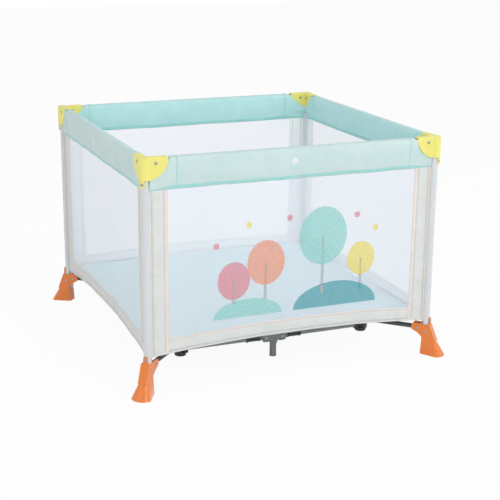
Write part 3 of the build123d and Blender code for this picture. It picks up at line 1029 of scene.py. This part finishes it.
@dataclass
class NetWall:
    """A wall of net with sewn bands and piping, hung from the rail and laced to two posts."""

    finishes: Finishes
    dresser: Dresser
    edge: float = 0.4915
    post_tape: float = 9 * MM
    band_width: float = 42 * MM
    piping_width: float = 12 * MM
    top: float = 0.664
    hem_middle: float = 0.139
    hem_corner: float = 0.1205
    base_band: float = 36 * MM
    edge_tape: float = 6 * MM
    cloth: float = 1.5 * MM
    tape: float = 2.6 * MM
    pull: float = 14 * MM
    slack_foot: float = 0.12
    slack_rise: float = 0.3
    pull_rise: float = 0.4
    lean: float = math.radians(6.7)
    sewn_in: float = 4 * MM
    seam: float = 0.02
    net_drop: float = 3 * MM
    head_drops: Place = (8 * MM, 2 * MM)
    thin: float = 0.35
    waist: float = 0.4

    def gather(self, side: Side, end: int) -> Fold:
        """How half a wall is drawn to its post as the frame folds, its loose edge in front of the latch.

        Args:
            side: the side it is on.
            end: the low (0) or high (1) half of that side.

        Returns:
            The axis, the anchor at the post, and the share kept along the axis.
        """
        sign = 2 * end - 1
        anchor = Vector(side.place(sign * POST_HALF, 0, self.waist))
        tip = Vector(side.place(sign * (POST_HALF - math.cos(self.lean)), -math.sin(self.lean), self.waist))
        return tuple(tip - anchor), tuple(anchor), 1 - (1 - FOLDED_SHARE) / math.cos(self.lean) ** 2

    def hem_at(self, s: float) -> float:
        """The height of the arched hem."""
        return self.hem_middle - (self.hem_middle - self.hem_corner) * (s / self.edge) ** 2

    def bow(self, side: Side, s: float, z: float) -> float:
        """How far the cloth stands in or out of its plane.

        Args:
            side: the side it is on.
            s: the place along the side.
            z: the height.

        Returns:
            Metres outwards.
        """
        free = max(1 - (s / self.edge) ** 2, 0.0)
        low = max(1 - (z - self.slack_foot) / self.slack_rise, 0.0)
        wave = ripple(1.6, 19, s, side.value) * low + ripple(0.8, 43, s, z * 9)
        drawn = self.pull * max(1 - (z - self.slack_foot) / self.pull_rise, 0.0) ** 1.6
        return free * (wave - drawn)

    def strip(
        self,
        side: Side,
        name: str,
        edges: Sequence[Station],
        thick: float,
        material: bpy.types.Material,
        steps: int = 4,
    ) -> bpy.types.Object:
        """Makes a sewn strip with soft edges.

        Args:
            side: the side it is on.
            name: the piece's name.
            edges: pairs of places (along, height), one pair for each station on its length.
            thick: its thickness.
            material: its finish.
            steps: divisions across it.

        Returns:
            The piece.
        """
        rows = []
        for (s0, z0), (s1, z1) in edges:
            outside = []
            inside = []
            for step in range(steps + 1):
                share = step / steps
                s = s0 + (s1 - s0) * share
                z = z0 + (z1 - z0) * share
                full = math.sqrt(math.sin(math.pi * min(max(share, 0.04), 0.96)))
                plump = thick / 2 * (self.thin + (1 - self.thin) * full)
                middle = self.bow(side, s, z)
                outside.append(side.place(s, middle + plump, z))
                inside.append(side.place(s, middle - plump, z))
            rows.append(outside + inside[::-1])
        # Every strip's inner faces take the whiter copy of the band: painted light for the inside of the pen.
        cloths = [material, self.finishes.band_back]
        return self.dresser.loft(name, rows, cloths, lambda row, spot: int(spot > steps), capped=False)

    def upright(self, s0: float, s1: float, count: int = 40) -> list[Station]:
        """Stations up a band between two places along the side."""
        stations = []
        for share in (i / count for i in range(count + 1)):
            first, second = ((s, self.hem_at(s) + (self.top - self.hem_at(s)) * share) for s in (s0, s1))
            stations.append((first, second))
        return stations

    def level(self, reach: float, low: float, high: float, count: int = 36) -> list[Station]:
        """Stations from the middle along a band that follows the hem, by its heights over the hem."""
        places = [reach * i / count for i in range(count + 1)]
        return [((s, self.hem_at(s) + low), (s, self.hem_at(s) + high)) for s in places]

    def head(self, reach: float, count: int = 20) -> list[Station]:
        """Stations from the middle along the straight tape under the rail cover."""
        low, high = (self.top - drop for drop in self.head_drops)
        return [((s, low), (s, high)) for s in (reach * i / count for i in range(count + 1))]

    def net(self, side: Side, end: int, reach: float, count: int = 30) -> bpy.types.Object:
        """Makes half the net of one wall, a single sheet whose edges are sewn into the bands."""
        rows = []
        for s in (reach * i / count for i in range(count + 1)):
            low = self.hem_at(s) + self.edge_tape + self.base_band
            heights = [low + (self.top - self.net_drop - low) * j / count for j in range(count + 1)]
            rows.append([side.place(s, self.bow(side, s, z), z) for z in heights])
        return self.dresser.loft(side.at_end("net", end), rows, [self.finishes.net], closed=False)

    def bands(self, side: Side, end: int) -> list[bpy.types.Object]:
        """Sews the bands and tapes of half a wall.

        Args:
            side: the side it is on.
            end: the low (0) or high (1) half of that side.

        Returns:
            The strips.
        """
        sign = 2 * end - 1
        edge = sign * self.edge
        outer = edge - sign * self.post_tape
        inner = outer - sign * self.band_width
        net_edge = inner - sign * self.piping_width
        low = self.edge_tape
        high = low + self.base_band
        band, piping = self.finishes.band, self.finishes.piping
        strips = (
            ("post_tape", self.upright(edge, outer), self.tape, piping),
            ("side_band", self.upright(outer, inner), self.cloth, band),
            ("side_piping", self.upright(inner, net_edge), self.tape, piping),
            ("hem_tape", self.level(edge, 0.0, low), self.tape, band),
            ("base_band", self.level(inner, low, high), self.cloth, band),
            ("base_piping", self.level(inner, high, high + self.edge_tape), self.tape, piping),
            ("head_tape", self.head(inner), self.cloth, band),
        )
        return [
            self.strip(side, side.at_end(word, end), stations, thick, cloth)
            for word, stations, thick, cloth in strips
        ]

    def build(self, side: Side) -> None:
        """Makes one wall, in two halves that each stay laced to their own post.

        Args:
            side: the side it is on.
        """
        reach = self.edge - self.post_tape - self.band_width - self.piping_width
        for end in (0, 1):
            body = side.at_corner("corner", end)
            parts = self.bands(side, end)
            net = self.net(side, end, (2 * end - 1) * (reach + self.sewn_in))
            if end == 0:
                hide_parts(f"side_wall_{side.label}")
            for piece in (net, *parts):
                self.dresser.give(piece, body, "wall_mesh", self.gather(side, end))


@dataclass
class Floor:
    """The padded mat and the floor cloth under it: panels that lift with the base ring, and corner pieces
    that move with the corners.
    """

    finishes: Finishes
    dresser: Dresser
    half: float = 0.4966
    cut: float = 62 * MM
    base: float = 0.1018
    thick: float = 14 * MM
    rim: float = 6 * MM
    rise: float = 34 * MM
    valley: float = 2.0 * MM
    tray_half: float = 0.4982
    tray_base: float = 0.1003
    split: float = 0.38
    folded: float = 0.1
    tilt: float = math.radians(4.6)
    pull: float = 14 * MM
    start_round: float = 0.006
    crease_width: float = 9 * MM
    settle: float = 1.0 * MM
    softness: float = 0.7
    spread: float = 1.4
    tip_gap: float = 1 * MM
    mat_grid: tuple[int, int] = (32, 40)
    tray_grid: tuple[int, int] = (24, 24)

    def slope_at(self, y: float) -> float:
        """The share of the rise from the base ring out to the hem, rounded where it starts."""
        share = (abs(y) - RING_HALF) / (self.half - self.pull - RING_HALF)
        return clamped(0.5 * (share + math.sqrt(share**2 + self.start_round)))

    def top_at(self, x: float, y: float) -> float:
        """The height of the mat's top.

        Args:
            x: the place along the side, from the middle of the pen.
            y: the place across, from the middle, negative towards the side.

        Returns:
            The height.
        """
        share = self.slope_at(y)
        thick = self.thick + (self.rim - self.thick) * share
        rim = self.half - self.pull * (1 - (x / self.half) ** 2)
        edge = min(rim + y, (2 * self.half - self.cut - abs(x) + y) / math.sqrt(2))
        near = clamped(edge / self.rim)
        rounding = self.softness * self.rim * (1 - math.sqrt(max(1 - (1 - near) ** 2, 0)))
        crease = min(abs(x), abs(abs(x) + y) / math.sqrt(2))
        dip = self.valley * math.exp(-((crease / self.crease_width) ** 2))
        crumple = ripple(0.9, 31, x, 4 * math.sin(y * 13)) * math.sin(y * 23 + 3 * math.sin(x * 9))
        return self.base + self.rise * share + thick - rounding - dip + crumple - self.settle

    def panel_grid(
        self, sign: int, half: float, start: float, stop: float, wide: int, deep: int
    ) -> list[list[Place]]:
        """Rows of plan places over part of a panel, each from the corner's crease out to the side.

        Args:
            sign: which half of the side.
            half: half the floor's width.
            start: where the part starts, along the side from its middle.
            stop: where it stops.
            wide: divisions along the side.
            deep: divisions outwards.

        Returns:
            The rows.
        """
        eases = [0.5 - 0.5 * math.cos(math.pi * j / deep) for j in range(deep + 1)]
        rows = []
        for i in range(wide + 1):
            x = start + (stop - start) * (i / wide) ** self.spread
            rim = min(half - self.pull * (1 - (x / half) ** 2), 2 * half - self.cut - x)
            rows.append([(sign * x, -(x + (rim - x) * ease)) for ease in eases])
        return rows

    def mat(self, side: Side, end: int, name: str, start: float, stop: float) -> bpy.types.Object:
        """Makes part of a panel of the mat.

        Args:
            side: the side it lies against.
            end: the low (0) or high (1) half of that side.
            name: the piece's name.
            start: where it starts, along the side from its middle.
            stop: where it stops.

        Returns:
            The piece.
        """
        rows = []
        for row in self.panel_grid(2 * end - 1, self.half, start, stop, *self.mat_grid):
            top = [side.turned(x, y, self.top_at(x, y)) for x, y in row]
            low = [side.turned(x, y, self.base + self.rise * self.slope_at(y)) for x, y in row]
            rows.append(top + low[::-1])
        piece = self.dresser.loft(name, rows, [self.finishes.mat], capped=False)
        return piece

    def tray(
        self, side: Side, end: int, name: str, start: float, stop: float, held_by: str
    ) -> bpy.types.Object:
        """Makes part of a panel of the floor cloth, flat over the ring and sloping up to the hem.

        Args:
            side: the side it lies against.
            end: the low (0) or high (1) half of that side.
            name: the piece's name.
            start: where it starts, along the side from its middle.
            stop: where it stops.
            held_by: not used.

        Returns:
            The piece.
        """
        rows = []
        for row in self.panel_grid(2 * end - 1, self.tray_half, start, stop, *self.tray_grid):
            heights = [self.tray_base + self.rise * self.slope_at(y) for _, y in row]
            rows.append([side.turned(x, y, z) for (x, y), z in zip(row, heights)])
        piece = self.dresser.loft(name, rows, [self.finishes.tray], closed=False)
        return piece

    def lift(self, side: Side) -> Fold:
        """How the panels of a side are gathered to their ring bars, tilted to lay the slope down."""
        axis = side.outward * math.cos(self.tilt) + Vector((0, 0, math.sin(self.tilt)))
        return tuple(axis), side.turned(0.0, -RING_HALF, self.base), self.folded

    def pleat(self, side: Side, end: int) -> Fold:
        """How a corner of the floor is pleated to the line from its post to the middle."""
        x, y, _ = side.place((2 * end - 1) * POST_HALF, 0, 0)
        return tuple(Vector((-y, x, 0)).normalized()), (x, y, self.base), self.folded

    def build(self) -> None:
        """Makes the panels and corners of the mat and of the floor cloth."""
        tip = self.half - self.cut / 2 - self.tip_gap
        for side in Side:
            for end in (0, 1):
                bar = side.at_end("ring_bar", end)
                corner = side.at_corner("corner", end)
                post = side.at_corner("post", end)
                parts = (
                    ("panel", 0.0, self.split, bar, bar, self.lift(side)),
                    ("corner", self.split, tip, post, corner, self.pleat(side, end)),
                )
                for word, start, stop, held_by, body, fold in parts:
                    mat = self.mat(side, end, side.at_end(f"mat_{word}", end), start, stop)
                    tray = self.tray(side, end, side.at_end(f"tray_{word}", end), start, stop, held_by)
                    if (side, end, word) == (Side.FRONT, 0, "panel"):
                        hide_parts("floor_mat")
                        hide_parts("floor_cloth")
                    self.dresser.give(mat, body, "mat_cloth", fold)
                    self.dresser.give(tray, body, "floor_cloth", fold)


@dataclass
class WallPrint:
    """A generic print on the front net: round trees on a low hill under a few dots."""

    dresser: Dresser
    wall: NetWall
    proud: float = 1.2 * MM
    ground: float = 0.262
    crown: float = 1.15
    dot: float = 20 * MM

    def patch(self, name: str, outline: Sequence[Place], ink: bpy.types.Material) -> None:
        """Lays one flat shape of ink on the front net.

        Args:
            name: the piece's name.
            outline: its points (along, height).
            ink: its finish.
        """
        side = Side.FRONT
        last = len(outline)
        middle = (sum(s for s, _ in outline) / last, sum(z for _, z in outline) / last)
        spots = [*outline, middle]
        points = [side.place(s, self.wall.bow(side, s, z) + self.proud, z) for s, z in spots]
        faces = [(i, (i + 1) % last, last) for i in range(last)]
        piece = self.dresser.piece(name, points, faces, [ink])
        end = int(middle[0] > 0)
        self.dresser.give(piece, side.at_corner("corner", end), "wall_mesh", self.wall.gather(side, end))

    def disc(self, s: float, z: float, wide: float, tall: float, count: int = 28) -> list[Place]:
        """The outline of an oval."""
        turns = [2 * math.pi * i / count for i in range(count)]
        return [(s + wide / 2 * math.cos(t), z + tall / 2 * math.sin(t)) for t in turns]

    def hill(self, s: float, z: float, wide: float, tall: float, count: int = 20) -> list[Place]:
        """The outline of a low hill with a flat foot."""
        turns = [math.pi * i / count for i in range(count + 1)]
        return [(s + wide / 2 * math.cos(t), z + tall * math.sin(t)) for t in turns]

    def build(self) -> None:
        """Prints the hills, trees and dots."""
        colours = {
            "teal": "#5FA9B4",
            "aqua": "#9CD6D2",
            "yellow": "#EBDD7A",
            "rose": "#DE95A2",
            "salmon": "#EBA58C",
            "grey": "#B4BABD",
        }
        # Sublimation ink, transferred by heat: flat tints that the threads break up.
        inks = {name: PrintInk(f"ink_transfer_{name}", code).make() for name, code in colours.items()}
        self.patch("print_hill_1", self.hill(-0.16, 0.215, 0.24, 0.060), inks["aqua"])
        self.patch("print_hill_2", self.hill(0.15, 0.215, 0.30, 0.085), inks["teal"])
        # Each tree: the middle of its crown (along, height), the crown's width, and its ink.
        trees = (
            (-0.21, 0.34, 0.11, "rose"),
            (-0.10, 0.39, 0.13, "salmon"),
            (0.10, 0.46, 0.17, "aqua"),
            (0.24, 0.37, 0.10, "yellow"),
        )
        for number, (s, z, wide, ink) in enumerate(trees):
            root, tip = 5 * MM, 4 * MM
            trunk = [(s - root, self.ground), (s + root, self.ground), (s + tip, z), (s - tip, z)]
            self.patch(f"print_trunk_{number}", trunk, inks["grey"])
            self.patch(f"print_crown_{number}", self.disc(s, z, wide, wide * self.crown), inks[ink])
        dots = ((-0.02, 0.53), (-0.16, 0.52), (0.22, 0.52), (0.29, 0.47), (-0.27, 0.46))
        for number, (s, z) in enumerate(dots):
            ink = inks["yellow" if number % 2 else "rose"]
            self.patch(f"print_dot_{number}", self.disc(s, z, self.dot, self.dot), ink)


@dataclass
class Studio:
    """The pale floor, the soft lamps and the camera at the photograph's angle."""

    place: Point = (-1.5265, -3.7856, 1.4773)
    yaw: float = 22.631
    pitch: float = 16.281
    roll: float = 0.498
    focal_pixels: float = 1175.3
    frame_pixels: float = 500.0
    sky: float = 0.95
    overhead: float = 0.45
    far: float = 14.0
    floor_lift: float = 0.94

    def camera(self) -> None:
        """Sets the camera from the fitted view."""
        yaw, pitch, roll = (math.radians(a) for a in (self.yaw, self.pitch, self.roll))
        ahead = Vector((math.cos(pitch) * math.sin(yaw), math.cos(pitch) * math.cos(yaw), -math.sin(pitch)))
        right = Vector((math.cos(yaw), -math.sin(yaw), 0.0))
        up = right.cross(ahead)
        turned_right = right * math.cos(roll) + up * math.sin(roll)
        turned_up = up * math.cos(roll) - right * math.sin(roll)
        data = bpy.data.cameras.new("view")
        data.sensor_width = 36.0
        data.lens = self.focal_pixels / self.frame_pixels * data.sensor_width
        data.clip_end = 50.0
        camera = bpy.data.objects.new("view", data)
        matrix = Matrix((turned_right, turned_up, -ahead)).transposed().to_4x4()
        matrix.translation = Vector(self.place)
        camera.matrix_world = matrix
        bpy.context.scene.collection.objects.link(camera)
        bpy.context.scene.camera = camera

    def lamp(
        self, name: str, place: Point, target: Point, size: float, watts: float, tall: Optional[float] = None
    ) -> None:
        """Hangs one soft box.

        Args:
            name: its name.
            place: where it hangs.
            target: what it faces.
            size: its width.
            watts: its power.
            tall: its height, for a strip; a round box has none.
        """
        data = bpy.data.lights.new(name, "AREA")
        data.shape = "RECTANGLE" if tall else "DISK"
        data.size = size
        data.size_y = tall or size
        data.energy = watts
        lamp = bpy.data.objects.new(name, data)
        lamp.location = place
        lamp.rotation_euler = (Vector(target) - Vector(place)).to_track_quat("-Z", "Y").to_euler()
        bpy.context.scene.collection.objects.link(lamp)

    def lifted(self, shader: Shader, share: float, plain: Socket, white: Socket) -> Socket:
        """Shows white to what the camera sees, mirrored or through the net too, and the plain elsewhere.

        Args:
            shader: the tree under work.
            share: how much of the white shows.
            plain: what gives the light.
            white: what is seen.

        Returns:
            The mixed surface.
        """
        rays = add_node(shader.tree, "ShaderNodeLightPath").outputs
        seen = shader.reckon("ADD", rays["Is Camera Ray"], rays["Is Glossy Ray"])
        seen = shader.reckon("ADD", seen, rays["Is Transmission Ray"])
        lift = shader.reckon("MULTIPLY", seen, share, clamp=True)
        return add_node(shader.tree, "ShaderNodeMixShader", {0: lift, 1: plain, 2: white}).outputs[0]

    def floor(self) -> None:
        """Lays the pale floor, lifted to white where the camera sees it, with the shadow kept."""
        mesh = bpy.data.meshes.new("studio_floor")
        far = self.far
        mesh.from_pydata([(-far, -far, 0), (far, -far, 0), (far, far, 0), (-far, far, 0)], [], [(0, 1, 2, 3)])
        # Background paper, matt coated: an even white without a sheen.
        shader = Shader(bpy.data.materials.new("paper_white_matt"))
        paper = add_node(shader.tree, "ShaderNodeBsdfDiffuse", {"Color": linear("#F2F2F2")}).outputs[0]
        white = add_node(shader.tree, "ShaderNodeEmission", {"Color": WHITE, "Strength": 1.0}).outputs[0]
        mixed = self.lifted(shader, self.floor_lift, paper, white)
        add_node(shader.tree, "ShaderNodeOutputMaterial", {"Surface": mixed})
        mesh.materials.append(shader.owner)
        floor = bpy.data.objects.new("studio_floor", mesh)
        bpy.context.scene.collection.objects.link(floor)

    def world(self) -> None:
        """Sets an even pale sky, white where it is seen."""
        shader = Shader(bpy.data.worlds.new("studio_sky"))
        bpy.context.scene.world = shader.owner
        # Softboxes stand round the pen, so more light comes from the sides than from overhead.
        way = add_node(shader.tree, "ShaderNodeTexCoord").outputs["Generated"]
        height = add_node(shader.tree, "ShaderNodeSeparateXYZ", {0: way}).outputs[2]
        level = shader.ramp(height, self.sky, self.overhead, start=0.1, stop=0.95)
        light, white = (
            add_node(shader.tree, "ShaderNodeBackground", {"Color": WHITE, "Strength": strength}).outputs[0]
            for strength in (level, 1.0)
        )
        mixed = self.lifted(shader, 1.0, light, white)
        add_node(shader.tree, "ShaderNodeOutputWorld", {"Surface": mixed})

    def build(self) -> None:
        """Sets up the whole studio."""
        bpy.context.scene.view_settings.view_transform = "Standard"
        self.floor()
        self.world()
        self.lamp("key", (0.2, -3.6, 3.2), (0, 0, 0.4), 2.4, 34.0)
        self.lamp("fill", (3.2, -1.6, 2.4), (0, 0, 0.4), 2.4, 28.0)
        self.lamp("side", (-3.2, -0.8, 2.6), (0, 0, 0.4), 2.4, 12.0)
        # Two narrow strips stand low in front, and draw bright lines down the glossy feet.
        self.lamp("strip_left", (-1.9, -3.0, 0.9), (-0.55, -0.55, 0.05), 0.3, 4.0, tall=1.2)
        self.lamp("strip_right", (0.3, -3.6, 0.9), (0.55, -0.55, 0.05), 0.3, 4.0, tall=1.2)
        self.camera()


def main() -> None:
    """Builds the pen piece by piece."""
    logging.basicConfig(level=logging.INFO, format="%(name)s: %(message)s")
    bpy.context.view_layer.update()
    finishes = Finishes()
    dresser = Dresser()
    HardFrame(finishes).dress()
    Rivets(finishes, dresser).build()
    BarSleeves(finishes, dresser).build()
    RailCovers(finishes, dresser, Padding()).build()
    wall = NetWall(finishes, dresser)
    for side in Side:
        wall.build(side)
    Floor(finishes, dresser).build()
    WallPrint(dresser, wall).build()
    Studio().build()


if __name__ == "__main__":
    main()
